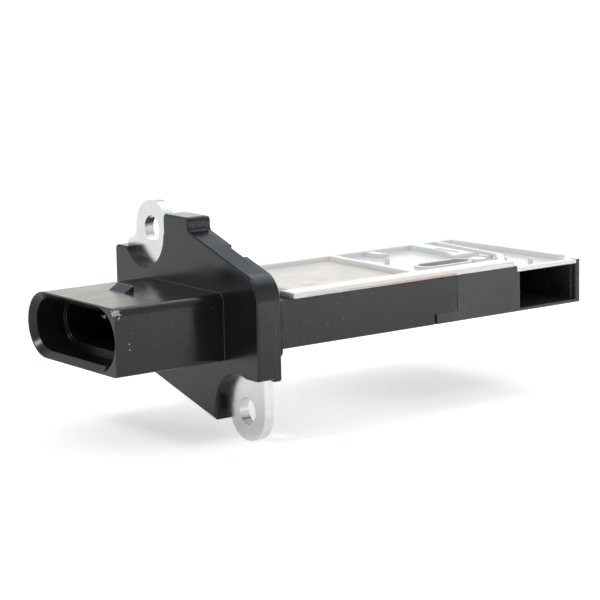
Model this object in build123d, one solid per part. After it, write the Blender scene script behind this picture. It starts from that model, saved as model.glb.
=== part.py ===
from build123d import *
from math import cos, radians
import os

# Mass airflow sensor of the plug-in kind. Sizes are in millimetres.
# X runs along the probe from connector to tip, Y across it, Z up.
# The origin lies midway between the two screw holes, on the seating face of the ears.

# Metal plate with the two ears
MOUNT_PCD = 42.8
EAR_ANGLE = 45
EAR_HOLE_DIAMETER = 5.0
EAR_RADIUS = 5.5
PLATE_THICKNESS = 2.0
PLATE_FAR_INSET = 1.3
PLATE_NEAR_INSET = 1.35
PLATE_BOTTOM = -7.0
PLATE_TOP = 8.0
PLATE_CORNER_CUT = 2.5
PLATE_FLARE_DROP = 2.9321
PLATE_FLARE_RISE = 1.2
PLATE_FLARE_ROUND = 0.8
PLATE_NECK_LENGTH = 1.5
PLATE_NECK_FOOT_Y = 6.0
PLATE_NECK_FOOT_Z = 10.6
PLATE_NECK_ROUND = 2.0
PLATE_WINDOW_WIDTH = 36.0
PLATE_WINDOW_HEIGHT = 9.6
PLATE_WINDOW_ROUND = 2.0

# Flange outline, seen from the connector
FLANGE_FRONT = -4.1
FLANGE_REAR = 1.0
FLANGE_FAR = 25.1
FLANGE_NEAR = -21.95
FLANGE_SHELF_TOP = 11.3
FLANGE_SHELF_BOTTOM = -8.6
FLANGE_BOSS_TOP = 18.95
FLANGE_BOSS_NEAR = -0.3
FLANGE_STEP_TOP = 16.45
FLANGE_CORNER_TOP = 9.5
FLANGE_LOW_TIP = -17.7
FLANGE_CORNER_ROUND = 5.0
FLANGE_EDGE_ROUND = 0.8
FLANGE_FACE_ROUND = 0.35
FLANGE_RIM_INSET = 0.15
FLANGE_RIM_DROP = 0.5
SCALLOP_RADIUS = 7.15
RIM_NOTCH_CENTRE = -9.5
RIM_NOTCH_WIDTH = 5.0
RIM_NOTCH_DEPTH = 0.8

# Connector shroud
SHROUD_LENGTH = 23.1
SHROUD_WIDTH = 30.7
SHROUD_HEIGHT = 12.4
SHROUD_CENTRE = 3.95
SHROUD_WALL = 1.3
SHROUD_LEAD_IN = 1.1
SHROUD_TOP_ROUND = 1.5
SHROUD_BOTTOM_ROUND = 0.6
SOCKET_DEPTH = 7.0
SOCKET_STEP = 0.8
SOCKET_TOTAL_DEPTH = 19.0
LATCH_WIDTH = 5.4
LATCH_HEIGHT = 1.2
LATCH_SLOPE_LENGTH = 2.0
LATCH_START = 10.0

# Terminals
TERMINAL_COUNT = 5
TERMINAL_PITCH = 4.8
TERMINAL_WIDTH = 1.5
TERMINAL_THICKNESS = 0.8
TERMINAL_TIP_SETBACK = 12.5
TERMINAL_END = 13.4
TERMINAL_POINT = 0.3

# Probe
PROBE_NEAR = -20.05
PROBE_FAR = 21.3
PROBE_BOTTOM = -3.64
WALL_TOP = 4.4
NEAR_WALL_TOP = 5.3
NEAR_WALL = 1.4
NECK_SIDE_INSET = 1.05
NECK_BOTTOM = -3.2
NECK_TOP = 3.6
PROBE_EDGE_ROUND = 0.3

# Ring seal at the root
SEAL_LENGTH = 1.0
SEAL_STAND_OUT = 1.2
SEAL_HALF_HEIGHT = 4.9
SEAL_ROUND = 0.3

# Circuit chamber
ROOT_BLOCK_END = 10.6
CHAMBER_START = 12.0
CHAMBER_END = 37.0
CHAMBER_NEAR = -17.2
CHAMBER_FAR = 15.5
LEDGE_TOP = 3.8
LEDGE_END = 40.3
LID_GAP = 0.5
LID_SIDE_GAP = 0.1
BASE_PLATE_START = 6.0
BASE_PLATE_END = 36.0
BASE_PLATE_NEAR = -16.0
BASE_PLATE_FAR = 17.3
BASE_PLATE_THICKNESS = 1.24
BASE_PLATE_ROUND = 1.5

# Joint between the housing and the tip
SEAM = 43.8
SEAM_GAP = 0.15
TONGUE_START = 38.7
TONGUE_TOP = -1.6
TONGUE_SLOT = 0.6

# Tip with the air channel
TIP_FLOOR = -3.0
TIP_START_WALL = 1.4
TIP_END_WALL = 1.2
CHANNEL_TURN_Y = 1.5
CHANNEL_OUTER_RADIUS = 14.4
DIVIDER_RADIUS = 0.9
CHANNEL_BLIND_END = -9.0
INLET_OFFSET = 0.6
INLET_END_WALL = 0.9
INLET_START_ROUND = 1.1
INLET_END_ROUND = 0.6
INLET_POST_WIDTH = 1.3

# Moulded cover over the probe
WEB_BOTTOM = 3.9
RAIL_START = 5.4
RAIL_INNER = -15.6
RAIL_TOP = 6.3
FRAME_FAR_INNER = 14.3
FRAME_FAR_OUTER = 17.2
FRAME_TOP = 5.4
RIB_START = 39.2
RIB_END = 41.0
RAIL_CLEARANCE = 0.9
END_RIM_NEAR = -15.8
END_RIM_NEAR_WIDTH = 1.7
END_RIM_FAR_WIDTH = 4.5
END_RIM_ROUND = 1.0
LIP_BOTTOM = 4.2
LIP_TOP = 4.9
LIP_WIDTH = 1.65
LIP_CORNER_LENGTH = 2.2
RIM_ROUND = 0.3
RIM_OVERLAP = 1.2
ISLAND_WALL_X = 60.1
ISLAND_WIDTH = 3.5
ISLAND_BEND_Y = 6.0
ISLAND_FOOT = (57.7, -1.9)
ISLAND_GROOVE_START = 60.95
ISLAND_GROOVE_WIDTH = 0.8
ISLAND_GROOVE_NEAR = 0.5
ISLAND_GROOVE_FAR = 7.5
GUIDE_FAR_X = 67.2
GUIDE_KNEE_X = 65.95
GUIDE_WIDTH = 1.2
GUIDE_KNEE_Y = -6.8
GUIDE_ROOT = (57.0, -18.2)
GUIDE_KNEE_ROUND = 3.0
SLOT_START = 46.9
SLOT_END = 58.7
SLOT_NEAR = -7.0
SLOT_FAR = -3.2
SLOT_BORDER = 0.8
SLOT_BORDER_TOP = 4.9
STUDS = [(60.9, -5.9, 1.7), (64.7, -3.8, 1.3), (65.1, -7.9, 1.4)]
STUD_TOP = 5.0
PAD_START = 48.4
PAD_END = 50.5
PAD_NEAR = 9.3
PAD_CORNER = 1.7
PAD_TOP = 5.2
PIN_RADIUS = 0.5
PIN_TOP = 5.4
PIN_CENTRES = [(46.0, 4.2), (66.8, -15.0)]

# Sealing bead under the near rail
BEAD_START = 8.4
BEAD_WIDTH = 0.6
BEAD_HEIGHT = 0.4

# Circuit
BOARD_START = 14.0
BOARD_END = 35.4
BOARD_NEAR = -14.0
BOARD_FAR = 13.0
BOARD_THICKNESS = 0.7
GEL_THICKNESS = 1.1
CONTROL_CHIP = (22.5, 0.0, 6.0, 6.0, 0.9)
TRIM_CHIP = (30.5, 6.5, 3.0, 3.0, 0.7)
CAPACITORS = [(27.5, -8.5, 2.0, 1.3, 0.8), (32.0, -8.5, 2.0, 1.3, 0.8), (18.0, 9.0, 3.2, 1.6, 0.9)]

# Hot-film sensor
CARRIER_START = 35.8
CARRIER_END = 54.0
CARRIER_CENTRE_Y = 1.5
CARRIER_WIDTH = 5.0
CARRIER_BOTTOM = 0.6
CARRIER_THICKNESS = 0.8
CARRIER_NOSE_ROUND = 2.0
ELEMENT_CENTRE_X = 50.6
ELEMENT_SIZE = 2.6
ELEMENT_THICKNESS = 0.4

# Intake thermistor on the underside
NICHE_START = 45.4
NICHE_END = 56.4
NICHE_CENTRE_Y = -14.0
NICHE_WIDTH = 5.0
NICHE_DEPTH = 2.2
THERMISTOR_RADIUS = 0.95
THERMISTOR_X = 53.6
LEAD_RADIUS = 0.22
LEAD_SPACING = 1.0

EAR_OFFSET = MOUNT_PCD / 2 * cos(radians(EAR_ANGLE))
PLATE_FLARE_TOP = EAR_OFFSET - PLATE_FLARE_DROP
SHROUD_FRONT = FLANGE_FRONT - SHROUD_LENGTH
SHROUD_FAR = SHROUD_CENTRE + SHROUD_WIDTH / 2
SHROUD_NEAR = SHROUD_CENTRE - SHROUD_WIDTH / 2
ROOT_BLOCK_START = FLANGE_REAR + SEAL_LENGTH
SCALLOP_WALL = EAR_OFFSET - SCALLOP_RADIUS
CHANNEL_TURN_X = SEAM + TIP_START_WALL + CHANNEL_OUTER_RADIUS
PROBE_END = CHANNEL_TURN_X + CHANNEL_OUTER_RADIUS + TIP_END_WALL
LIP_CORNER_START = PROBE_END - LIP_CORNER_LENGTH
INLET_START = CHANNEL_TURN_X + INLET_OFFSET
INLET_END = PROBE_END - INLET_END_WALL
POST_END = INLET_START - INLET_POST_WIDTH
RAIL_END = POST_END - RAIL_CLEARANCE
INNER_NEAR = PROBE_NEAR + NEAR_WALL
BASE_PLATE_TOP = PROBE_BOTTOM + BASE_PLATE_THICKNESS
BOARD_TOP = BASE_PLATE_TOP + BOARD_THICKNESS


def block(x_range, y_range, z_range):
    """Box between two limits on each axis"""
    sizes = [high - low for low, high in (x_range, y_range, z_range)]
    centre = [(high + low) / 2 for low, high in (x_range, y_range, z_range)]
    return Pos(*centre) * Box(*sizes)


def cross_section(x, points):
    """Closed outline in the plane across the probe at x"""
    return Plane.YZ.offset(x) * make_face(Polyline(*points, close=True))


def plan_section(z, points):
    """Closed outline in the plane seen from above at height z"""
    return Plane.XY.offset(z) * make_face(Polyline(*points, close=True))


def rounded(face, point, radius):
    """The face with its corner nearest to the point rounded"""
    corner = face.vertices().sort_by_distance(point)[0]
    return fillet(corner, radius)


def top_rounded(solid, radius):
    """The solid with the edges of its top face rounded"""
    return fillet(solid.faces().sort_by(Axis.Z)[-1].edges(), radius)


def save(name, shape):
    """Label the piece and write its STEP file"""
    shape.label = name
    export_step(shape, f"parts/{name}.step")


def ear_centres():
    """Centres of the two screw holes across the probe"""
    return [(EAR_OFFSET, EAR_OFFSET), (-EAR_OFFSET, -EAR_OFFSET)]


def ear_cylinders(radius, x_start, x_end):
    """One cylinder along X at each screw hole"""
    circles = [Plane.YZ.offset(x_start) * Pos(y, z) * Circle(radius) for y, z in ear_centres()]
    return extrude(Sketch() + circles, x_end - x_start)


def mounting_plate():
    """Stamped plate: frame moulded into the flange, with an ear at each screw hole"""
    front = -PLATE_THICKNESS
    far = FLANGE_FAR - PLATE_FAR_INSET
    near = FLANGE_NEAR + PLATE_NEAR_INSET
    ear_inside = EAR_OFFSET - EAR_RADIUS
    ear_outside = EAR_OFFSET + EAR_RADIUS
    neck_end = EAR_OFFSET - PLATE_NECK_LENGTH
    flare_end = PLATE_FLARE_TOP + PLATE_FLARE_RISE
    outline = cross_section(front, [
        (near, -EAR_OFFSET), (-ear_inside, -EAR_OFFSET), (-ear_inside, -neck_end),
        (-PLATE_NECK_FOOT_Y, -PLATE_NECK_FOOT_Z), (-PLATE_NECK_FOOT_Y, PLATE_BOTTOM), (far, PLATE_BOTTOM),
        (far, PLATE_FLARE_TOP), (ear_outside, flare_end), (ear_outside, EAR_OFFSET),
        (ear_inside, EAR_OFFSET), (ear_inside, neck_end), (PLATE_NECK_FOOT_Y, PLATE_NECK_FOOT_Z),
        (PLATE_NECK_FOOT_Y, PLATE_TOP), (near + PLATE_CORNER_CUT, PLATE_TOP),
        (near, PLATE_TOP - PLATE_CORNER_CUT)])
    outline = rounded(outline, (front, far, PLATE_FLARE_TOP), PLATE_FLARE_ROUND)
    for y, z in [(ear_outside, flare_end), (ear_inside, neck_end), (-ear_inside, -neck_end)]:
        outline = rounded(outline, (front, y, z), PLATE_NECK_ROUND)
    window = RectangleRounded(PLATE_WINDOW_WIDTH, PLATE_WINDOW_HEIGHT, PLATE_WINDOW_ROUND)
    plate = extrude(outline - Plane.YZ.offset(front) * window, PLATE_THICKNESS)
    plate += ear_cylinders(EAR_RADIUS, front, 0)
    return plate - ear_cylinders(EAR_HOLE_DIAMETER / 2, front, 0)


def flange_outline(x, inset, drop):
    """Flange outline with the boss, the step and the slanting sides, filled in round the ears"""
    bottom = FLANGE_SHELF_BOTTOM - drop
    low_tip = FLANGE_LOW_TIP - drop
    far = FLANGE_FAR - inset
    near = FLANGE_NEAR + inset
    boss_near = FLANGE_BOSS_NEAR + inset
    boss_top = FLANGE_BOSS_TOP - inset
    shelf = FLANGE_SHELF_TOP - inset
    step = FLANGE_STEP_TOP - inset
    face = cross_section(x, [
        (far, bottom), (far, shelf), (EAR_OFFSET, shelf), (EAR_OFFSET, EAR_OFFSET),
        (SCALLOP_WALL, EAR_OFFSET), (SCALLOP_WALL, boss_top), (boss_near, boss_top), (boss_near, step),
        (near, FLANGE_CORNER_TOP - inset), (near, bottom), (-EAR_OFFSET, bottom),
        (-EAR_OFFSET, -EAR_OFFSET), (-SCALLOP_WALL, -EAR_OFFSET), (-SCALLOP_WALL, low_tip)])
    face = rounded(face, (x, near, FLANGE_CORNER_TOP - inset), FLANGE_CORNER_ROUND)
    for y, z in [(boss_near, boss_top), (boss_near, step), (SCALLOP_WALL, boss_top), (far, shelf),
                 (far, bottom), (near, bottom)]:
        face = rounded(face, (x, y, z), FLANGE_EDGE_ROUND)
    return face


def flange():
    """Flange with a scallop round each ear and a shallow notch in its rear rim"""
    body = extrude(flange_outline(FLANGE_FRONT, 0, 0), -FLANGE_FRONT)
    body = fillet(body.faces().sort_by(Axis.X)[0].edges(), FLANGE_FACE_ROUND)
    body += extrude(flange_outline(0, FLANGE_RIM_INSET, FLANGE_RIM_DROP), FLANGE_REAR)
    slope = (FLANGE_STEP_TOP - FLANGE_CORNER_TOP) / (FLANGE_BOSS_NEAR - FLANGE_NEAR)
    notch_top = FLANGE_STEP_TOP - slope * (FLANGE_BOSS_NEAR - RIM_NOTCH_CENTRE)
    notch = Rot(degrees_of(slope), 0, 0) * Box(FLANGE_REAR, RIM_NOTCH_WIDTH, 2 * RIM_NOTCH_DEPTH)
    body -= Pos(FLANGE_REAR / 2, RIM_NOTCH_CENTRE, notch_top) * notch
    return body - ear_cylinders(SCALLOP_RADIUS, FLANGE_FRONT, FLANGE_REAR)


def degrees_of(slope):
    """Angle of a slope in degrees"""
    return Vector(1, slope, 0).get_angle(Vector(1, 0, 0))


def stadium(x, wall):
    """Round-ended outline inside the shroud, one wall thickness in from its outside"""
    height = SHROUD_HEIGHT - 2 * wall
    width = SHROUD_WIDTH - 2 * wall
    return Plane.YZ.offset(x) * Pos(SHROUD_CENTRE, 0) * SlotOverall(width, height)


def shroud():
    """Connector shroud: round far end, square near end, stepped round-ended socket"""
    half = SHROUD_HEIGHT / 2
    length = SHROUD_LENGTH + FLANGE_FACE_ROUND
    square_end = Pos((SHROUD_CENTRE + SHROUD_NEAR) / 2, 0) * Rectangle(SHROUD_WIDTH / 2, SHROUD_HEIGHT)
    square_end = rounded(square_end, (SHROUD_NEAR, half), SHROUD_TOP_ROUND)
    square_end = rounded(square_end, (SHROUD_NEAR, -half), SHROUD_BOTTOM_ROUND)
    section = SlotOverall(SHROUD_WIDTH, SHROUD_HEIGHT)
    outside = Plane.YZ.offset(SHROUD_FRONT) * (Pos(SHROUD_CENTRE, 0) * section + square_end)
    body = extrude(outside, length)
    body -= extrude(stadium(SHROUD_FRONT, SHROUD_WALL), SOCKET_DEPTH)
    body -= extrude(stadium(SHROUD_FRONT, SHROUD_WALL + SOCKET_STEP), SOCKET_TOTAL_DEPTH)
    mouth = body.faces().sort_by(Axis.X)[0].inner_wires()[0].edges()
    body = chamfer(mouth, SHROUD_LEAD_IN)
    ramp_start = SHROUD_FRONT + LATCH_START
    ramp_end = ramp_start + LATCH_SLOPE_LENGTH
    ramp = Plane.XZ.offset(-SHROUD_CENTRE) * make_face(Polyline(
        (ramp_start, half), (ramp_end, half + LATCH_HEIGHT), (ramp_end, half - SHROUD_WALL / 2),
        (ramp_start, half - SHROUD_WALL / 2), close=True))
    return body + extrude(ramp, LATCH_WIDTH / 2, both=True)


def terminal(index):
    """Flat pin from the socket through the flange into the circuit chamber"""
    y = SHROUD_CENTRE + (index - (TERMINAL_COUNT - 1) / 2) * TERMINAL_PITCH
    start = SHROUD_FRONT + TERMINAL_TIP_SETBACK
    half = TERMINAL_WIDTH / 2
    rise = TERMINAL_THICKNESS / 2
    pin = block((start, TERMINAL_END), (y - half, y + half), (-rise, rise))
    return chamfer(pin.faces().sort_by(Axis.X)[0].edges(), TERMINAL_POINT)


def root_seal():
    """Rubber ring in the groove between flange and probe"""
    sides = (PROBE_NEAR - SEAL_STAND_OUT, PROBE_FAR + SEAL_STAND_OUT)
    outside = block((FLANGE_REAR, ROOT_BLOCK_START), sides, (-SEAL_HALF_HEIGHT, SEAL_HALF_HEIGHT))
    outside = fillet(outside.edges().filter_by(Axis.X), SEAL_STAND_OUT)
    outside = fillet(outside.faces().sort_by(Axis.X)[-1].edges(), SEAL_ROUND)
    return outside - neck()


def neck():
    """Narrowed root of the probe that the ring seal sits on"""
    sides = (PROBE_NEAR + NECK_SIDE_INSET, PROBE_FAR - NECK_SIDE_INSET)
    return block((FLANGE_REAR, ROOT_BLOCK_START), sides, (NECK_BOTTOM, NECK_TOP))


def carrier():
    """Slim tongue from the circuit chamber into the air channel"""
    half = CARRIER_WIDTH / 2
    tongue = block((CARRIER_START, CARRIER_END), (CARRIER_CENTRE_Y - half, CARRIER_CENTRE_Y + half),
                   (CARRIER_BOTTOM, CARRIER_BOTTOM + CARRIER_THICKNESS))
    nose = tongue.edges().filter_by(Axis.Z).sort_by(Axis.X)[-2:]
    return fillet(nose, CARRIER_NOSE_ROUND)


def probe_shell():
    """Walls of the probe from its root to the seam, open above and below the chamber"""
    sides = (PROBE_NEAR, PROBE_FAR)
    raised = (WALL_TOP, NEAR_WALL_TOP)
    shell = block((ROOT_BLOCK_START, SEAM - SEAM_GAP), sides, (PROBE_BOTTOM, WALL_TOP))
    shell = fillet(shell.edges().filter_by(Axis.X).group_by(Axis.Z)[0], PROBE_EDGE_ROUND)
    shell += block((ROOT_BLOCK_START, ROOT_BLOCK_END), (PROBE_NEAR, FRAME_FAR_OUTER), raised)
    shell += block((ROOT_BLOCK_END, SEAM - SEAM_GAP), (PROBE_NEAR, INNER_NEAR), raised)
    shell -= block((ROOT_BLOCK_END, LEDGE_END), (INNER_NEAR, FRAME_FAR_OUTER), (LEDGE_TOP, WALL_TOP))
    shell -= block((LEDGE_END, SEAM), (INNER_NEAR, FRAME_FAR_OUTER), (WEB_BOTTOM, WALL_TOP))
    shell -= block((CHAMBER_START, CHAMBER_END), (CHAMBER_NEAR, CHAMBER_FAR), (BASE_PLATE_TOP, LEDGE_TOP))
    shell -= block((TONGUE_START - TONGUE_SLOT, SEAM), sides, (PROBE_BOTTOM, TONGUE_TOP))
    return shell


def base_plate():
    """Aluminium plate let into the underside, which carries the circuit"""
    plate = block((BASE_PLATE_START, BASE_PLATE_END), (BASE_PLATE_NEAR, BASE_PLATE_FAR),
                  (PROBE_BOTTOM, BASE_PLATE_TOP))
    return fillet(plate.edges().filter_by(Axis.Z), BASE_PLATE_ROUND)


def sensor_housing(inserts):
    """Black moulded body: shroud, flange, neck and probe shell round its inserts"""
    body = flange() + shroud() + neck() + probe_shell()
    for insert in inserts:
        body -= insert
    return body


def air_channel():
    """Air way in the tip: in at the side, round the divider, to the blind end by the slot"""
    far_half = Pos(0, CHANNEL_OUTER_RADIUS / 2) * Rectangle(2 * CHANNEL_OUTER_RADIUS, CHANNEL_OUTER_RADIUS)
    bend = (Circle(CHANNEL_OUTER_RADIUS) - Circle(DIVIDER_RADIUS)) & far_half
    leg_width = CHANNEL_OUTER_RADIUS - DIVIDER_RADIUS
    leg_offset = (CHANNEL_OUTER_RADIUS + DIVIDER_RADIUS) / 2
    in_length = CHANNEL_TURN_Y - INNER_NEAR
    out_length = CHANNEL_TURN_Y - CHANNEL_BLIND_END
    leg_in = Pos(leg_offset, -in_length / 2) * Rectangle(leg_width, in_length)
    leg_out = Pos(-leg_offset, -out_length / 2) * Rectangle(leg_width, out_length)
    plan = Pos(CHANNEL_TURN_X, CHANNEL_TURN_Y) * (bend + leg_in + leg_out)
    return extrude(Plane.XY.offset(TIP_FLOOR) * plan, WALL_TOP - TIP_FLOOR)


def inlet_mouth():
    """Opening in the near wall of the tip, up to the lip of the cover, with rounded sides"""
    size = (INLET_END - INLET_START, NEAR_WALL)
    plan = Pos((INLET_START + INLET_END) / 2, (PROBE_NEAR + INNER_NEAR) / 2) * Rectangle(*size)
    for corner, reach in ((INLET_START, -INLET_START_ROUND), (INLET_END, INLET_END_ROUND)):
        edge = Vector(corner, PROBE_NEAR)
        centre = Vector(corner + reach, PROBE_NEAR + abs(reach))
        flare = Pos(*((edge + centre) / 2)) * Rectangle(abs(reach), abs(reach))
        plan += flare - Pos(*centre) * Circle(abs(reach))
    return extrude(Plane.XY.offset(TIP_FLOOR) * plan, LIP_BOTTOM - TIP_FLOOR)


def bypass_body():
    """Black moulded tip with the side inlet, the curved channel and the tongue under the housing"""
    sides = (PROBE_NEAR, PROBE_FAR)
    near_wall = (PROBE_NEAR, INNER_NEAR)
    body = block((SEAM, PROBE_END), sides, (PROBE_BOTTOM, WALL_TOP))
    body += block((TONGUE_START, SEAM), sides, (PROBE_BOTTOM, TONGUE_TOP))
    body = fillet(body.edges().filter_by(Axis.X).group_by(Axis.Z)[0], PROBE_EDGE_ROUND)
    body += block((SEAM, POST_END), near_wall, (WALL_TOP, NEAR_WALL_TOP))
    body += block((INLET_END, PROBE_END), (PROBE_NEAR, PROBE_NEAR + LIP_WIDTH), (WALL_TOP, LIP_TOP))
    body -= block((SEAM, INLET_END), (INNER_NEAR, FRAME_FAR_OUTER), (WEB_BOTTOM, WALL_TOP))
    body -= block((POST_END, INLET_END), near_wall, (LIP_BOTTOM, WALL_TOP))
    body -= air_channel()
    body -= inlet_mouth()
    half = NICHE_WIDTH / 2
    body -= block((NICHE_START, NICHE_END), (NICHE_CENTRE_Y - half, NICHE_CENTRE_Y + half),
                  (PROBE_BOTTOM, PROBE_BOTTOM + NICHE_DEPTH))
    return body - carrier()


def circuit_lid():
    """Cream plate over the circuit chamber"""
    sides = (INNER_NEAR + LID_SIDE_GAP, FRAME_FAR_OUTER - LID_SIDE_GAP)
    return block((ROOT_BLOCK_END + LID_GAP, LEDGE_END - LID_SIDE_GAP), sides, (LEDGE_TOP, WALL_TOP))


def curved_island():
    """Plan of the raised land beside the window pocket: its wall curves in towards the slot"""
    far = FRAME_FAR_INNER + RIM_OVERLAP
    right = ISLAND_WALL_X + ISLAND_WIDTH
    wall = Polyline((ISLAND_WALL_X, far), (ISLAND_WALL_X, ISLAND_BEND_Y))
    bend = TangentArc((ISLAND_WALL_X, ISLAND_BEND_Y), ISLAND_FOOT, tangent=(0, -1))
    rest = Polyline(ISLAND_FOOT, (right, ISLAND_FOOT[1]), (right, far), (ISLAND_WALL_X, far))
    island = make_face([*wall.edges(), *bend.edges(), *rest.edges()])
    groove = (ISLAND_GROOVE_START, ISLAND_GROOVE_START + ISLAND_GROOVE_WIDTH)
    return island - plan_box(groove, (ISLAND_GROOVE_NEAR, ISLAND_GROOVE_FAR))


def guide_rib():
    """Plan of the rib along the outside of the air channel, from the near rail to the far frame"""
    half = GUIDE_WIDTH / 2
    far = FRAME_FAR_INNER + RIM_OVERLAP
    face = make_face(Polyline(
        (GUIDE_ROOT[0] - half, GUIDE_ROOT[1]), (GUIDE_ROOT[0] + half, GUIDE_ROOT[1]),
        (GUIDE_KNEE_X + half, GUIDE_KNEE_Y - half), (GUIDE_FAR_X + half, far),
        (GUIDE_FAR_X - half, far), (GUIDE_KNEE_X - half, GUIDE_KNEE_Y + half), close=True))
    face = rounded(face, (GUIDE_KNEE_X + half, GUIDE_KNEE_Y - half), GUIDE_KNEE_ROUND)
    return rounded(face, (GUIDE_KNEE_X - half, GUIDE_KNEE_Y + half), GUIDE_KNEE_ROUND)


def end_rim():
    """Plan of the rim at the tip, wider at its far end and rounded at its near end"""
    far = FRAME_FAR_INNER + RIM_OVERLAP
    inner = (PROBE_END - END_RIM_NEAR_WIDTH, END_RIM_NEAR)
    face = make_face(Polyline(
        inner, (PROBE_END, END_RIM_NEAR), (PROBE_END, far), (PROBE_END - END_RIM_FAR_WIDTH, far), close=True))
    return rounded(face, inner, END_RIM_ROUND)


def slot_plan(border):
    """Plan of the round-ended outlet slot, grown by a border"""
    length = SLOT_END - SLOT_START + 2 * border
    width = SLOT_FAR - SLOT_NEAR + 2 * border
    return Pos((SLOT_START + SLOT_END) / 2, (SLOT_NEAR + SLOT_FAR) / 2) * SlotOverall(length, width)


def cover_details():
    """Border of the slot, round studs, pad with a cut corner, and locating pips"""
    floor = Plane.XY.offset(WALL_TOP)
    pad = plan_section(WALL_TOP, [
        (PAD_START, PAD_NEAR + PAD_CORNER), (PAD_START + PAD_CORNER, PAD_NEAR), (PAD_END, PAD_NEAR),
        (PAD_END, FRAME_FAR_INNER + RIM_OVERLAP), (PAD_START, FRAME_FAR_INNER + RIM_OVERLAP)])
    studs = [extrude(floor * Pos(x, y) * Circle(radius), STUD_TOP - WALL_TOP) for x, y, radius in STUDS]
    pips = [extrude(floor * Pos(x, y) * Circle(PIN_RADIUS), PIN_TOP - WALL_TOP) for x, y in PIN_CENTRES]
    border = extrude(floor * slot_plan(SLOT_BORDER), SLOT_BORDER_TOP - WALL_TOP)
    return [border, extrude(pad, PAD_TOP - WALL_TOP), *studs, *pips]


def rim_plan():
    """Plan of the raised rims: far frame, cross rib, end rim, island and guide"""
    plan = plan_box((ROOT_BLOCK_END, PROBE_END), (FRAME_FAR_INNER, FRAME_FAR_OUTER))
    plan += plan_box((RIB_START, RIB_END), (RAIL_INNER - RIM_OVERLAP, FRAME_FAR_OUTER))
    return plan + end_rim() + curved_island() + guide_rib()


def plan_box(x_range, y_range):
    """Rectangle between two limits on each axis"""
    centre = Pos(sum(x_range) / 2, sum(y_range) / 2)
    return centre * Rectangle(x_range[1] - x_range[0], y_range[1] - y_range[0])


def inlet_lip():
    """Low lip over the inlet and round to the end rim"""
    lip = block((POST_END, INLET_END), (PROBE_NEAR, PROBE_NEAR + LIP_WIDTH), (WALL_TOP, LIP_TOP))
    lip += block((POST_END, INLET_END), (PROBE_NEAR, INNER_NEAR), (LIP_BOTTOM, WALL_TOP))
    corner = (PROBE_NEAR + LIP_WIDTH, END_RIM_NEAR + RIM_OVERLAP)
    return lip + block((LIP_CORNER_START, PROBE_END), corner, (WALL_TOP, LIP_TOP))


def bypass_cover(bead):
    """Light cover: near rail, raised rims, and the floor over the air channel with its slot"""
    rims = top_rounded(extrude(Plane.XY.offset(WALL_TOP) * rim_plan(), FRAME_TOP - WALL_TOP), RIM_ROUND)
    rail = block((RAIL_START, RAIL_END), (PROBE_NEAR, RAIL_INNER), (NEAR_WALL_TOP, RAIL_TOP))
    rail = top_rounded(rail, RIM_ROUND)
    rail += block((ROOT_BLOCK_END, RAIL_END), (INNER_NEAR, RAIL_INNER), (WALL_TOP, NEAR_WALL_TOP))
    web = block((LEDGE_END, INLET_END), (INNER_NEAR, FRAME_FAR_OUTER), (WEB_BOTTOM, WALL_TOP))
    cover = web + rims + rail + inlet_lip()
    for detail in cover_details():
        cover += detail
    return cover - extrude(Plane.XY.offset(WEB_BOTTOM) * slot_plan(0), FRAME_TOP - WEB_BOTTOM) - bead


def cover_sealant():
    """Bead of sealing adhesive that shows under the near rail along the circuit chamber"""
    return block((BEAD_START, SEAM - SEAM_GAP), (PROBE_NEAR, PROBE_NEAR + BEAD_WIDTH),
                 (NEAR_WALL_TOP, NEAR_WALL_TOP + BEAD_HEIGHT))


def board_part(place):
    """Rectangular component that stands on the circuit board"""
    x, y, length, width, height = place
    return Pos(x, y, BOARD_TOP + height / 2) * Box(length, width, height)


def circuit_board():
    """Ceramic board on the base plate"""
    return block((BOARD_START, BOARD_END), (BOARD_NEAR, BOARD_FAR), (BASE_PLATE_TOP, BOARD_TOP))


def protective_gel(components):
    """Silicone layer over the board, let out round the components"""
    gel = block((BOARD_START, BOARD_END), (BOARD_NEAR, BOARD_FAR), (BOARD_TOP, BOARD_TOP + GEL_THICKNESS))
    for component in components:
        gel -= component
    return gel


def sensor_element():
    """Hot-film element on the tongue, inside the air channel"""
    seat = CARRIER_BOTTOM + CARRIER_THICKNESS
    place = Pos(ELEMENT_CENTRE_X, CARRIER_CENTRE_Y, seat + ELEMENT_THICKNESS / 2)
    return place * Box(ELEMENT_SIZE, ELEMENT_SIZE, ELEMENT_THICKNESS)


def intake_thermistor():
    """Bead on two leads in the niche on the underside"""
    z = PROBE_BOTTOM + NICHE_DEPTH / 2
    bead = Pos(THERMISTOR_X, NICHE_CENTRE_Y, z) * Sphere(THERMISTOR_RADIUS)
    for y in (NICHE_CENTRE_Y - LEAD_SPACING / 2, NICHE_CENTRE_Y + LEAD_SPACING / 2):
        section = Plane.YZ.offset(NICHE_START) * Pos(y, z) * Circle(LEAD_RADIUS)
        bead += extrude(section, THERMISTOR_X - NICHE_START)
    return bead


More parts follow.
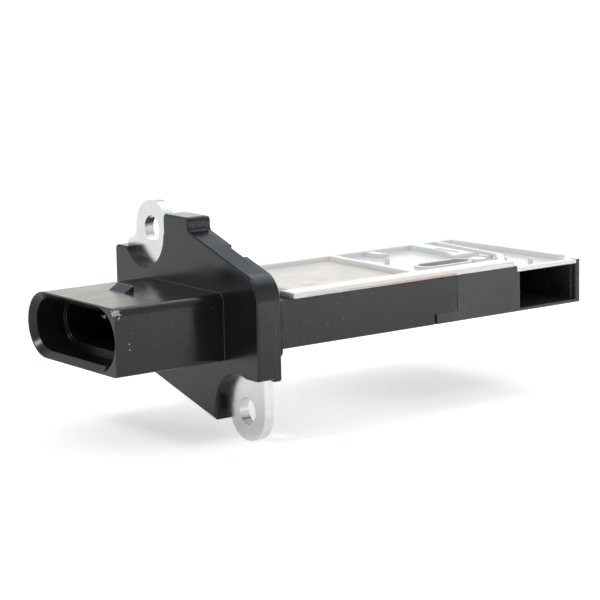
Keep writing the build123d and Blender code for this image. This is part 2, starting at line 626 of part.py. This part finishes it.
def main():
    """Build every piece and write it to its own file"""
    os.makedirs("parts", exist_ok=True)
    plate = mounting_plate()
    base = base_plate()
    tongue = carrier()
    terminals = [terminal(index) for index in range(TERMINAL_COUNT)]
    bead = cover_sealant()
    chips = [board_part(CONTROL_CHIP), board_part(TRIM_CHIP)]
    capacitors = [board_part(place) for place in CAPACITORS]
    save("sensor_housing", sensor_housing([plate, base, tongue, *terminals]))
    save("mounting_plate", plate)
    save("root_seal", root_seal())
    save("bypass_body", bypass_body())
    save("bypass_cover", bypass_cover(bead))
    save("circuit_lid", circuit_lid())
    save("cover_sealant", bead)
    save("base_plate", base)
    for number, pin in enumerate(terminals, start=1):
        save(f"terminal_{number}", pin)
    save("circuit_board", circuit_board())
    save("control_chip", chips[0])
    save("trim_chip", chips[1])
    for number, capacitor in enumerate(capacitors, start=1):
        save(f"capacitor_{number}", capacitor)
    save("protective_gel", protective_gel([*chips, *capacitors]))
    save("sensor_carrier", tongue)
    save("sensor_element", sensor_element())
    save("intake_thermistor", intake_thermistor())


main()
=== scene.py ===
"""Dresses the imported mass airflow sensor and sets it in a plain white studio."""

import logging
import math
from dataclasses import dataclass, field
from enum import Enum
from typing import Any, Optional, Union

import bpy
from mathutils import Matrix, Vector


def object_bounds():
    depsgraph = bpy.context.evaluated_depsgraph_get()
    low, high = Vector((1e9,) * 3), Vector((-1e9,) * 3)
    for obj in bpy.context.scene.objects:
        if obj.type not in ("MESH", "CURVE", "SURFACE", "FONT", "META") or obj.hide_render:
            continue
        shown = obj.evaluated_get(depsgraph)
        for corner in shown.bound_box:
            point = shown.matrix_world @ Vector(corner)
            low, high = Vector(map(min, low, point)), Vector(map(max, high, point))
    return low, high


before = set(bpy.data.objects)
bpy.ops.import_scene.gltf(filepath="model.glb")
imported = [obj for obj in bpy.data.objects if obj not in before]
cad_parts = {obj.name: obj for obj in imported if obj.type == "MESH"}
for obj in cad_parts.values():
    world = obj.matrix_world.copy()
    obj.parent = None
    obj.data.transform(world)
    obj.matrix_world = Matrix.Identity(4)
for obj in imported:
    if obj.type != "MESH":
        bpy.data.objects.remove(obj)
CAD_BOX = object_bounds()

Socket = bpy.types.NodeSocket
Colour = tuple[float, float, float]
Input = Union[Socket, float, Colour]

MM = 0.001
WHITE: Colour = (1.0, 1.0, 1.0)
WHITE_STRENGTH = 1.0

# Octaves of finer noise, from a smooth swell to a fine haze.
SMOOTH = 1.0
SOFT = 2.0
EVEN = 3.0
CLOUDY = 4.0
BROKEN = 5.0
FINE = 6.0

# Stretches of the noise that are spread over a whole range.
WIDE_NOISE = (0.3, 0.7)
MIDDLE_NOISE = (0.35, 0.65)
PATCHY_NOISE = (0.42, 0.62)

# How far a rounded normal follows the face's own, on a flat face and on a sharp edge.
FLAT_FACE_DOT = 0.995
SHARP_EDGE_DOT = 0.85
EDGE_SAMPLES = 6

# Places of the colour sockets on a mix node.
MIX_FIRST_COLOUR = 6
MIX_SECOND_COLOUR = 7
MIX_RESULT_COLOUR = 2

log = logging.getLogger("scene")


class Node(Enum):
    """Shader node kinds that the finishes use."""

    BACKGROUND = "ShaderNodeBackground"
    BEVEL = "ShaderNodeBevel"
    BSDF = "ShaderNodeBsdfPrincipled"
    BUMP = "ShaderNodeBump"
    COORDINATES = "ShaderNodeTexCoord"
    GEOMETRY = "ShaderNodeNewGeometry"
    LIGHT_PATH = "ShaderNodeLightPath"
    MAPPING = "ShaderNodeMapping"
    MATH = "ShaderNodeMath"
    MIX = "ShaderNodeMix"
    MIX_SHADER = "ShaderNodeMixShader"
    NOISE = "ShaderNodeTexNoise"
    RANGE = "ShaderNodeMapRange"
    SEPARATE = "ShaderNodeSeparateXYZ"
    VECTOR_MATH = "ShaderNodeVectorMath"


class Graph:
    """Adds shader nodes to a tree and joins them."""

    def __init__(self, tree: bpy.types.NodeTree) -> None:
        """Empties the tree that the graph is built in.

        Args:
            tree: Node tree of a material or of the world.
        """
        self.tree = tree
        tree.nodes.clear()

    def add(self, kind: Node, **inputs: Input) -> bpy.types.Node:
        """Adds one node and sets its inputs.

        Args:
            kind: Kind of the node.
            **inputs: Values or sockets, by input name with underscores for spaces.

        Returns:
            The new node.
        """
        node = self.tree.nodes.new(kind.value)
        for name, value in inputs.items():
            self.set(node.inputs[name.replace("_", " ")], value)
        return node

    def set(self, socket: Socket, value: Input) -> None:
        """Links a socket to another one, or gives it a plain value.

        Args:
            socket: Input socket.
            value: Output socket, number or colour.
        """
        if isinstance(value, bpy.types.NodeSocket):
            self.tree.links.new(value, socket)
        elif isinstance(value, tuple) and socket.type == "RGBA":
            socket.default_value = (*value, 1.0)
        else:
            socket.default_value = value

    def place(self, stretch: Colour = WHITE) -> Socket:
        """Gives the point in the row frame, in metres.

        Args:
            stretch: Factors along X, Y and Z.

        Returns:
            Vector socket.
        """
        coordinates = self.add(Node.COORDINATES).outputs["Object"]
        if stretch == WHITE:
            return coordinates
        return self.add(Node.MAPPING, Vector=coordinates, Scale=stretch).outputs["Vector"]

    def noise(self, grain_mm: float, detail: float, stretch: Colour = WHITE) -> Socket:
        """Gives smooth noise with a mean of about one half.

        Args:
            grain_mm: Size of its spots in millimetres.
            detail: Octaves of finer noise.
            stretch: Factors along X, Y and Z.

        Returns:
            Number socket.
        """
        node = self.add(Node.NOISE, Vector=self.place(stretch), Scale=1.0 / (grain_mm * MM), Detail=detail)
        return node.outputs["Fac"]

    def ranged(self, value: Socket, low: float, high: float, to_low: float, to_high: float) -> Socket:
        """Maps a stretch of values onto another one, and clamps it.

        Args:
            value: Number socket to read.
            low: Start of the read stretch.
            high: End of the read stretch.
            to_low: Result at the start.
            to_high: Result at the end.

        Returns:
            Number socket.
        """
        node = self.add(Node.RANGE, Value=value, From_Min=low, From_Max=high, To_Min=to_low, To_Max=to_high)
        return node.outputs["Result"]

    def blend(self, share: Input, first: Input, second: Input) -> Socket:
        """Mixes two colours.

        Args:
            share: Share of the second colour.
            first: Colour at no share.
            second: Colour at the full share.

        Returns:
            Colour socket.
        """
        node = self.tree.nodes.new(Node.MIX.value)
        node.data_type = "RGBA"
        self.set(node.inputs["Factor"], share)
        self.set(node.inputs[MIX_FIRST_COLOUR], first)
        self.set(node.inputs[MIX_SECOND_COLOUR], second)
        return node.outputs[MIX_RESULT_COLOUR]

    def calculate(self, operation: str, first: Input, second: Input) -> Socket:
        """Works out one number from two.

        Args:
            operation: Name of the math operation.
            first: First number.
            second: Second number.

        Returns:
            Number socket.
        """
        node = self.tree.nodes.new(Node.MATH.value)
        node.operation = operation
        self.set(node.inputs[0], first)
        self.set(node.inputs[1], second)
        return node.outputs[0]

    def bump(self, height: Socket, depth_mm: float, under: Optional[Socket] = None) -> Socket:
        """Gives a normal that is tilted by a height.

        Args:
            height: Height between 0 and 1.
            depth_mm: Depth that a height of 1 stands for.
            under: Normal of a bump beneath this one.

        Returns:
            Normal socket.
        """
        node = self.add(Node.BUMP, Height=height, Distance=depth_mm * MM)
        if under is not None:
            self.set(node.inputs["Normal"], under)
        return node.outputs["Normal"]

    def soft_edges(self, radius_mm: float) -> Socket:
        """Gives a normal that rounds sharp edges off.

        Args:
            radius_mm: Radius of the rounding.

        Returns:
            Normal socket.
        """
        bevel = self.tree.nodes.new(Node.BEVEL.value)
        bevel.samples = EDGE_SAMPLES
        bevel.inputs["Radius"].default_value = radius_mm * MM
        return bevel.outputs["Normal"]

    def edge_share(self, radius_mm: float) -> Socket:
        """Gives 1 on sharp edges and 0 on flat faces.

        Args:
            radius_mm: Width of the band along an edge.

        Returns:
            Number socket.
        """
        dot = self.tree.nodes.new(Node.VECTOR_MATH.value)
        dot.operation = "DOT_PRODUCT"
        self.set(dot.inputs[0], self.soft_edges(radius_mm))
        self.set(dot.inputs[1], self.add(Node.GEOMETRY).outputs["Normal"])
        return self.ranged(dot.outputs["Value"], FLAT_FACE_DOT, SHARP_EDGE_DOT, 0.0, 1.0)

    def plain_sight(self) -> Socket:
        """Gives 1 to rays from the camera and through gloss or glass, and 0 to the rest.

        Returns:
            Number socket.
        """
        path = self.add(Node.LIGHT_PATH).outputs
        mirrored = self.calculate("MAXIMUM", path["Is Glossy Ray"], path["Is Transmission Ray"])
        return self.calculate("MAXIMUM", path["Is Camera Ray"], mirrored)

    def finish(self, shader: bpy.types.Node) -> None:
        """Joins the shader to the material's output.

        Args:
            shader: Last shader node.
        """
        output = self.tree.nodes.new("ShaderNodeOutputMaterial")
        self.tree.links.new(shader.outputs[0], output.inputs["Surface"])


def new_graph(name: str) -> tuple[bpy.types.Material, Graph]:
    """Makes an empty node material.

    Args:
        name: Name of the material.

    Returns:
        The material and the graph to build it in.
    """
    material = bpy.data.materials.new(name)
    material.use_nodes = True
    return material, Graph(material.node_tree)


@dataclass(frozen=True)
class Scuff:
    """Small pale chafed spot at a place on the surface."""

    place_mm: tuple[float, float, float]
    radius_mm: float
    grain_mm: float = 0.45
    lift: float = 0.42
    bare_level: float = 0.74
    full_level: float = 0.84
    strength: float = 0.8

    def share(self, graph: Graph) -> Socket:
        """Gives the strength in the chafed flecks and 0 away from the spot.

        Args:
            graph: Graph of the material.

        Returns:
            Number socket.
        """
        distance = graph.tree.nodes.new(Node.VECTOR_MATH.value)
        distance.operation = "DISTANCE"
        graph.set(distance.inputs[0], graph.place())
        graph.set(distance.inputs[1], Vector(self.place_mm) * MM)
        near = graph.ranged(distance.outputs["Value"], 0.0, self.radius_mm * MM, self.lift, 0.0)
        flecks = graph.calculate("ADD", graph.noise(self.grain_mm, CLOUDY), near)
        return graph.ranged(flecks, self.bare_level, self.full_level, 0.0, self.strength)


@dataclass(frozen=True)
class MouldedPlastic:
    """Moulded plastic with a fine eroded grain, soft mottling and rubbed edges."""

    name: str
    colour: Colour
    worn_colour: Colour
    roughness: float = 0.4
    roughness_swing: float = 0.05
    grain_mm: float = 0.22
    grain_depth_mm: float = 0.0015
    mottle_mm: float = 9.0
    mottle_darker: float = 0.82
    mottle_lighter: float = 1.18
    patch_mm: float = 2.5
    smear_mm: float = 5.0
    smear_stretch: Colour = (0.35, 1.0, 1.0)
    sink_mm: float = 14.0
    sink_depth_mm: float = 0.02
    wear_width_mm: float = 0.18
    wear: float = 0.35
    edge_mm: float = 0.15
    ior: float = 1.5
    scuffs: tuple[Scuff, ...] = ()
    scuff_colour: Colour = (0.62, 0.58, 0.5)

    def material(self) -> bpy.types.Material:
        """Builds the material.

        Returns:
            The finished material.
        """
        material, graph = new_graph(self.name)
        darker = tuple(self.mottle_darker * channel for channel in self.colour)
        lighter = tuple(min(1.0, self.mottle_lighter * channel) for channel in self.colour)
        mottle = graph.ranged(graph.noise(self.mottle_mm, CLOUDY), *MIDDLE_NOISE, 0.0, 1.0)
        colour = graph.blend(mottle, darker, lighter)
        patches = graph.ranged(graph.noise(self.patch_mm, BROKEN), *PATCHY_NOISE, 0.0, 1.0)
        rubbed = graph.calculate("MULTIPLY", graph.edge_share(self.wear_width_mm), patches)
        colour = graph.blend(graph.calculate("MULTIPLY", rubbed, self.wear), colour, self.worn_colour)
        for scuff in self.scuffs:
            colour = graph.blend(scuff.share(graph), colour, self.scuff_colour)
        smear = graph.noise(self.smear_mm, BROKEN, self.smear_stretch)
        roughness = graph.ranged(smear, *WIDE_NOISE, self.roughness - self.roughness_swing,
                                 self.roughness + self.roughness_swing)
        edges = graph.soft_edges(self.edge_mm)
        sink = graph.bump(graph.noise(self.sink_mm, SMOOTH), self.sink_depth_mm, edges)
        normal = graph.bump(graph.noise(self.grain_mm, SOFT), self.grain_depth_mm, sink)
        shader = graph.add(Node.BSDF, Base_Color=colour, Roughness=roughness, Normal=normal, IOR=self.ior)
        graph.finish(shader)
        return material


@dataclass(frozen=True)
class GlossPlastic:
    """Light moulded plastic with a glossy skin, faint flow marks and a little dust."""

    name: str
    colour: Colour
    dust_colour: Colour
    roughness: float = 0.16
    smoothest: float = 0.7
    roughest: float = 1.6
    skin_mm: float = 3.0
    flow_mm: float = 9.0
    flow_stretch: Colour = (0.4, 1.0, 1.0)
    dust_noise: tuple[float, float] = (0.3, 0.75)
    dust: float = 0.5
    edge_mm: float = 0.12
    ior: float = 1.52

    def material(self) -> bpy.types.Material:
        """Builds the material.

        Returns:
            The finished material.
        """
        material, graph = new_graph(self.name)
        flow = graph.noise(self.flow_mm, CLOUDY, self.flow_stretch)
        dusty = graph.ranged(flow, *self.dust_noise, 0.0, self.dust)
        colour = graph.blend(dusty, self.colour, self.dust_colour)
        roughness = graph.ranged(graph.noise(self.skin_mm, BROKEN), *WIDE_NOISE,
                                 self.smoothest * self.roughness, self.roughest * self.roughness)
        edges = graph.soft_edges(self.edge_mm)
        shader = graph.add(Node.BSDF, Base_Color=colour, Roughness=roughness, Normal=edges, IOR=self.ior)
        graph.finish(shader)
        return material


@dataclass(frozen=True)
class BrightMetal:
    """Tumbled or rolled metal with soft waviness, fine scratches and duller clouds."""

    name: str
    colour: Colour
    dull_colour: Colour
    roughness: float = 0.28
    smoothest: float = 0.92
    roughest: float = 1.12
    haze_mm: float = 0.9
    cloud_mm: float = 2.4
    cloud_noise: tuple[float, float] = (0.35, 0.7)
    dent_mm: float = 1.1
    dent_depth_mm: float = 0.012
    scratch_mm: float = 0.12
    scratch_depth_mm: float = 0.0003
    scratch_stretch: Colour = (1.0, 0.12, 1.0)
    stretch: Colour = WHITE

    def material(self) -> bpy.types.Material:
        """Builds the material.

        Returns:
            The finished material.
        """
        material, graph = new_graph(self.name)
        cloud = graph.noise(self.cloud_mm, BROKEN, self.stretch)
        dull = graph.ranged(cloud, *self.cloud_noise, 0.0, 1.0)
        colour = graph.blend(dull, self.colour, self.dull_colour)
        roughness = graph.ranged(graph.noise(self.haze_mm, FINE, self.stretch), *WIDE_NOISE,
                                 self.smoothest * self.roughness, self.roughest * self.roughness)
        dents = graph.bump(graph.noise(self.dent_mm, EVEN, self.stretch), self.dent_depth_mm)
        scratch = graph.noise(self.scratch_mm, SOFT, self.scratch_stretch)
        normal = graph.bump(scratch, self.scratch_depth_mm, dents)
        shader = graph.add(Node.BSDF, Base_Color=colour, Metallic=1.0, Roughness=roughness, Normal=normal)
        graph.finish(shader)
        return material


@dataclass(frozen=True)
class SoftRubber:
    """Dull elastic or ceramic surface with a dusty bloom."""

    name: str
    colour: Colour
    bloom_colour: Colour
    roughness: float = 0.7
    bloom_mm: float = 1.8
    bloom_noise: tuple[float, float] = (0.4, 0.7)
    bloom: float = 0.6
    grain_mm: float = 0.18
    grain_depth_mm: float = 0.008

    def material(self) -> bpy.types.Material:
        """Builds the material.

        Returns:
            The finished material.
        """
        material, graph = new_graph(self.name)
        bloom = graph.ranged(graph.noise(self.bloom_mm, BROKEN), *self.bloom_noise, 0.0, self.bloom)
        colour = graph.blend(bloom, self.colour, self.bloom_colour)
        normal = graph.bump(graph.noise(self.grain_mm, EVEN), self.grain_depth_mm)
        shader = graph.add(Node.BSDF, Base_Color=colour, Roughness=self.roughness, Normal=normal)
        graph.finish(shader)
        return material


@dataclass(frozen=True)
class CuredAdhesive:
    """Cured sealing adhesive, slightly clear, with an uneven skin, and paler where it is thin."""

    name: str
    colour: Colour
    deep_colour: Colour
    thin_colour: Colour
    thin_x_mm: float
    deep_x_mm: float
    roughness: float = 0.22
    pool_mm: float = 4.0
    pool_stretch: Colour = (0.5, 1.0, 1.0)
    pool_noise: tuple[float, float] = (0.35, 0.7)
    skin_mm: float = 1.2
    skin_depth_mm: float = 0.05
    clearness: float = 0.4
    scatter_mm: float = 0.4

    def material(self) -> bpy.types.Material:
        """Builds the material.

        Returns:
            The finished material.
        """
        material, graph = new_graph(self.name)
        pool = graph.noise(self.pool_mm, EVEN, self.pool_stretch)
        pooled = graph.ranged(pool, *self.pool_noise, 0.0, 1.0)
        along = graph.add(Node.SEPARATE, Vector=graph.place()).outputs["X"]
        depth = graph.ranged(along, self.thin_x_mm * MM, self.deep_x_mm * MM, 0.0, 1.0)
        thick_colour = graph.blend(pooled, self.colour, self.deep_colour)
        colour = graph.blend(depth, self.thin_colour, thick_colour)
        normal = graph.bump(graph.noise(self.skin_mm, SOFT), self.skin_depth_mm)
        shader = graph.add(Node.BSDF, Base_Color=colour, Roughness=self.roughness, Normal=normal,
                           Subsurface_Weight=self.clearness, Subsurface_Scale=self.scatter_mm * MM)
        graph.finish(shader)
        return material


class Finish(Enum):
    """Finishes of the sensor, by the record's material slot."""

    HOUSING = "housing"
    PLATE = "plate"
    SEAL = "seal"
    TIP = "tip"
    COVER = "cover"
    LID = "lid"
    SEALANT = "sealant"
    BASE = "base"
    PINS = "pins"
    BOARD = "board"
    CHIP = "chip"
    CAPACITOR = "capacitor"
    GEL = "gel"
    CARRIER = "carrier"
    SILICON = "silicon"
    THERMISTOR = "thermistor"


Recipe = Union[MouldedPlastic, GlossPlastic, BrightMetal, SoftRubber, CuredAdhesive]

ROLLED: Colour = (0.08, 1.0, 1.0)
SHROUD_CORNER_SCUFF = Scuff(place_mm=(-27.0, -11.2, 5.5), radius_mm=1.9)
UPPER_FLECK = Scuff(place_mm=(-24.4, -11.4, -0.35), radius_mm=0.4)
LOWER_FLECK = Scuff(place_mm=(-24.3, -11.4, -1.35), radius_mm=0.4)

RECIPES: dict[Finish, Recipe] = {
    Finish.HOUSING: MouldedPlastic("housing", (0.012, 0.0112, 0.0108), worn_colour=(0.2, 0.2, 0.2),
                                   roughness=0.2, edge_mm=0.3, ior=1.41,
                                   scuffs=(SHROUD_CORNER_SCUFF, UPPER_FLECK, LOWER_FLECK)),
    Finish.PLATE: BrightMetal("plate", (0.66, 0.635, 0.62), dull_colour=(0.62, 0.6, 0.585), roughness=0.24,
                              dent_mm=4.0, dent_depth_mm=0.0015),
    Finish.SEAL: SoftRubber("seal", (0.012, 0.012, 0.013), bloom_colour=(0.05, 0.05, 0.05)),
    Finish.TIP: MouldedPlastic("tip", (0.03, 0.03, 0.032), worn_colour=(0.2, 0.2, 0.21), roughness=0.25,
                               edge_mm=0.2, ior=1.45),
    Finish.COVER: GlossPlastic("cover", (0.9, 0.9, 0.89), dust_colour=(0.84, 0.84, 0.82)),
    Finish.LID: GlossPlastic("lid", (0.88, 0.81, 0.75), dust_colour=(0.85, 0.78, 0.72), roughness=0.35),
    Finish.SEALANT: CuredAdhesive("sealant", (0.82, 0.56, 0.46), deep_colour=(0.78, 0.44, 0.32),
                                  thin_colour=(0.82, 0.76, 0.72), thin_x_mm=10.0, deep_x_mm=34.0),
    Finish.BASE: BrightMetal("base", (0.8, 0.8, 0.81), dull_colour=(0.62, 0.62, 0.63), roughness=0.34,
                             stretch=ROLLED),
    # The pins' colour is darkened well below plain tin as painted shade for the dark connector cavity they
    # sit in.
    Finish.PINS: BrightMetal("pins", (0.36, 0.33, 0.29), dull_colour=(0.28, 0.26, 0.22), roughness=0.5,
                             stretch=ROLLED),
    Finish.BOARD: SoftRubber("board", (0.8, 0.8, 0.78), bloom_colour=(0.7, 0.7, 0.68), roughness=0.5),
    Finish.CHIP: MouldedPlastic("chip", (0.02, 0.02, 0.02), worn_colour=(0.1, 0.1, 0.1), roughness=0.5),
    Finish.CAPACITOR: SoftRubber("capacitor", (0.42, 0.27, 0.16), bloom_colour=(0.34, 0.22, 0.13),
                                 roughness=0.4),
    Finish.GEL: CuredAdhesive("gel", (0.5, 0.55, 0.55), deep_colour=(0.42, 0.47, 0.47),
                              thin_colour=(0.52, 0.57, 0.57), thin_x_mm=14.0, deep_x_mm=20.0),
    Finish.CARRIER: MouldedPlastic("carrier", (0.03, 0.03, 0.03), worn_colour=(0.15, 0.15, 0.15),
                                   roughness=0.45),
    Finish.SILICON: GlossPlastic("silicon", (0.06, 0.07, 0.11), dust_colour=(0.09, 0.1, 0.13),
                                 roughness=0.08),
    Finish.THERMISTOR: GlossPlastic("thermistor", (0.03, 0.03, 0.035), dust_colour=(0.06, 0.06, 0.06),
                                    roughness=0.2),
}


class Wardrobe:
    """Builds each finish once and puts it on pieces."""

    def __init__(self) -> None:
        """Starts with no material made."""
        self.made: dict[Finish, bpy.types.Material] = {}

    def material(self, finish: Finish) -> bpy.types.Material:
        """Gives the material of a finish, and builds it at first use.

        Args:
            finish: Finish to look up.

        Returns:
            The material.
        """
        if finish not in self.made:
            self.made[finish] = RECIPES[finish].material()
        return self.made[finish]

    def dress(self, node: str, finish: Finish) -> None:
        """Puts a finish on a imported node.

        Args:
            node: Name of the node.
            finish: Finish to put on it.
        """
        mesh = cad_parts[node].data
        mesh.materials.clear()
        mesh.materials.append(self.material(finish))
        log.info("dressed %s as %s", node, finish.value)


@dataclass
class Housing:
    """Black housing with its ring seal, ears and pins."""

    wardrobe: Wardrobe
    terminals: int = 5

    def dress(self) -> None:
        """Puts the finishes on the housing and what is moulded into it."""
        self.wardrobe.dress("sensor_housing", Finish.HOUSING)
        self.wardrobe.dress("mounting_plate", Finish.PLATE)
        self.wardrobe.dress("root_seal", Finish.SEAL)
        self.wardrobe.dress("base_plate", Finish.BASE)
        for number in range(1, self.terminals + 1):
            self.wardrobe.dress(f"terminal_{number}", Finish.PINS)


@dataclass
class Probe:
    """Tip, cover and lid of the probe, with the bead of adhesive and the thermistor."""

    wardrobe: Wardrobe

    def dress(self) -> None:
        """Puts the finishes on the probe's outer pieces."""
        self.wardrobe.dress("bypass_body", Finish.TIP)
        self.wardrobe.dress("bypass_cover", Finish.COVER)
        self.wardrobe.dress("circuit_lid", Finish.LID)
        self.wardrobe.dress("cover_sealant", Finish.SEALANT)
        self.wardrobe.dress("intake_thermistor", Finish.THERMISTOR)


@dataclass
class Circuit:
    """Board with its parts under the lid, and the hot film on its tongue."""

    wardrobe: Wardrobe
    capacitors: int = 3

    def dress(self) -> None:
        """Puts the finishes on the board and the hot film."""
        self.wardrobe.dress("circuit_board", Finish.BOARD)
        self.wardrobe.dress("control_chip", Finish.CHIP)
        self.wardrobe.dress("trim_chip", Finish.CHIP)
        self.wardrobe.dress("protective_gel", Finish.GEL)
        self.wardrobe.dress("sensor_carrier", Finish.CARRIER)
        self.wardrobe.dress("sensor_element", Finish.SILICON)
        for number in range(1, self.capacitors + 1):
            self.wardrobe.dress(f"capacitor_{number}", Finish.CAPACITOR)


@dataclass
class Viewpoint:
    """Camera at the photograph's place, found by fitting the object's edges."""

    azimuth_deg: float = -36.157
    elevation_deg: float = 10.089
    roll_deg: float = -1.119
    distance: float = 455.864 * MM
    aim: tuple[float, float, float] = (22.455 * MM, 1.48 * MM, 0.213 * MM)
    focal_px: float = 2374.3
    image_px: float = 600.0
    sensor_mm: float = 36.0
    nearest: float = 0.01
    farthest: float = 50.0

    def build(self) -> bpy.types.Object:
        """Makes the camera the scene's own.

        Returns:
            The camera object.
        """
        azimuth, elevation, roll = map(math.radians, (self.azimuth_deg, self.elevation_deg, self.roll_deg))
        back = Vector((math.sin(azimuth) * math.cos(elevation), -math.cos(azimuth) * math.cos(elevation),
                       math.sin(elevation)))
        level = Vector((math.cos(azimuth), math.sin(azimuth), 0.0))
        upright = back.cross(level)
        right = math.cos(roll) * level + math.sin(roll) * upright
        up = math.cos(roll) * upright - math.sin(roll) * level
        data = bpy.data.cameras.new("viewpoint")
        data.sensor_width = self.sensor_mm
        data.lens = self.focal_px / self.image_px * self.sensor_mm
        data.clip_start = self.nearest
        data.clip_end = self.farthest
        camera = bpy.data.objects.new("viewpoint", data)
        camera.matrix_world = Matrix.Translation(Vector(self.aim) + self.distance * back) @ Matrix(
            (right, up, back)).transposed().to_4x4()
        bpy.context.scene.collection.objects.link(camera)
        bpy.context.scene.camera = camera
        return camera


@dataclass
class Softbox:
    """Area light aimed at a point, with its width level."""

    name: str
    place: tuple[float, float, float]
    width: float
    height: float
    watts: float
    colour: Colour = WHITE
    aim: tuple[float, float, float] = (0.02, 0.0, 0.0)
    spread_deg: float = 180.0

    def build(self) -> bpy.types.Object:
        """Adds the light to the scene.

        Returns:
            The light object.
        """
        data = bpy.data.lights.new(self.name, "AREA")
        data.shape = "RECTANGLE"
        data.size = self.width
        data.size_y = self.height
        data.energy = self.watts
        data.color = self.colour
        data.spread = math.radians(self.spread_deg)
        light = bpy.data.objects.new(self.name, data)
        towards = Vector(self.aim) - Vector(self.place)
        light.location = self.place
        light.rotation_euler = towards.to_track_quat("-Z", "Y").to_euler()
        light.visible_camera = False
        bpy.context.scene.collection.objects.link(light)
        return light


@dataclass
class Studio:
    """White floor and surroundings, with soft lights."""

    floor_z: float
    floor_half: float = 3.0
    floor_gap: float = 0.02 * MM
    floor_colour: Colour = (0.9, 0.9, 0.9)
    floor_glow: float = 0.1
    floor_shown_glow: float = 0.5
    dim_x: float = -0.8
    bright_x: float = 0.5
    dim_strength: float = 0.3
    bright_strength: float = 0.85
    low_z: float = 0.25
    high_z: float = 0.7
    low_colour: Colour = (1.0, 0.97, 0.92)
    high_colour: Colour = (0.9, 0.95, 1.0)
    high_shown_colour: Colour = (0.6, 0.7, 0.82)
    lights: list[Softbox] = field(default_factory=lambda: [
        Softbox("top_softbox", place=(0.44, 0.11, 0.6), width=0.8, height=0.16, watts=0.98,
                colour=(0.78, 0.89, 1.0)),
        Softbox("left_softbox", place=(-0.53, 0.01, 0.5), width=0.13, height=0.13, watts=1.1),
        Softbox("back_softbox", place=(0.48, 0.66, 0.15), width=0.4, height=0.4, watts=0.25,
                colour=(1.0, 0.92, 0.76)),
        Softbox("floor_softbox", place=(0.16, -0.22, 0.22), width=0.1, height=0.1, watts=0.12,
                aim=(0.13, -0.17, -0.02), spread_deg=60.0),
    ])

    def build(self) -> None:
        """Makes the floor, the surroundings and the lights."""
        self.build_floor()
        self.build_surroundings()
        for light in self.lights:
            light.build()

    def build_floor(self) -> None:
        """Lays a white floor that keeps only the object's soft shadow."""
        half = self.floor_half
        z = self.floor_z - self.floor_gap
        corners = [(-half, -half, z), (half, -half, z), (half, half, z), (-half, half, z)]
        mesh = bpy.data.meshes.new("floor")
        mesh.from_pydata(corners, [], [(0, 1, 2, 3)])
        floor = bpy.data.objects.new("floor", mesh)
        bpy.context.scene.collection.objects.link(floor)
        material, graph = new_graph("floor")
        glow = graph.ranged(graph.plain_sight(), 0.0, 1.0, self.floor_glow, self.floor_shown_glow)
        shader = graph.add(Node.BSDF, Base_Color=self.floor_colour, Roughness=1.0, Specular_IOR_Level=0.0,
                           Emission_Color=WHITE, Emission_Strength=glow)
        graph.finish(shader)
        mesh.materials.append(material)

    def build_surroundings(self) -> None:
        """Lights the object from all sides, least from the connector's end, and shows white."""
        world = bpy.data.worlds.new("surroundings")
        world.use_nodes = True
        bpy.context.scene.world = world
        graph = Graph(world.node_tree)
        axes = graph.add(Node.SEPARATE, Vector=graph.add(Node.COORDINATES).outputs["Generated"])
        strength = graph.ranged(axes.outputs["X"], self.dim_x, self.bright_x, self.dim_strength,
                                self.bright_strength)
        height = graph.ranged(axes.outputs["Z"], self.low_z, self.high_z, 0.0, 1.0)
        lit_colour = graph.blend(height, self.low_colour, self.high_colour)
        shown_colour = graph.blend(height, WHITE, self.high_shown_colour)
        lit = graph.add(Node.BACKGROUND, Color=lit_colour, Strength=strength)
        shown = graph.add(Node.BACKGROUND, Color=shown_colour, Strength=WHITE_STRENGTH)
        mix = graph.add(Node.MIX_SHADER)
        graph.set(mix.inputs[0], graph.plain_sight())
        graph.set(mix.inputs[1], lit.outputs[0])
        graph.set(mix.inputs[2], shown.outputs[0])
        output = graph.tree.nodes.new("ShaderNodeOutputWorld")
        graph.set(output.inputs["Surface"], mix.outputs[0])


def main() -> None:
    """Builds the scene in order."""
    logging.basicConfig(level=logging.INFO, format="%(name)s: %(message)s")
    bpy.context.scene.view_settings.view_transform = "Standard"
    wardrobe = Wardrobe()
    Housing(wardrobe).dress()
    Probe(wardrobe).dress()
    Circuit(wardrobe).dress()
    Viewpoint().build()
    Studio(floor_z=CAD_BOX[0].z).build()


if __name__ == "__main__":
    main()
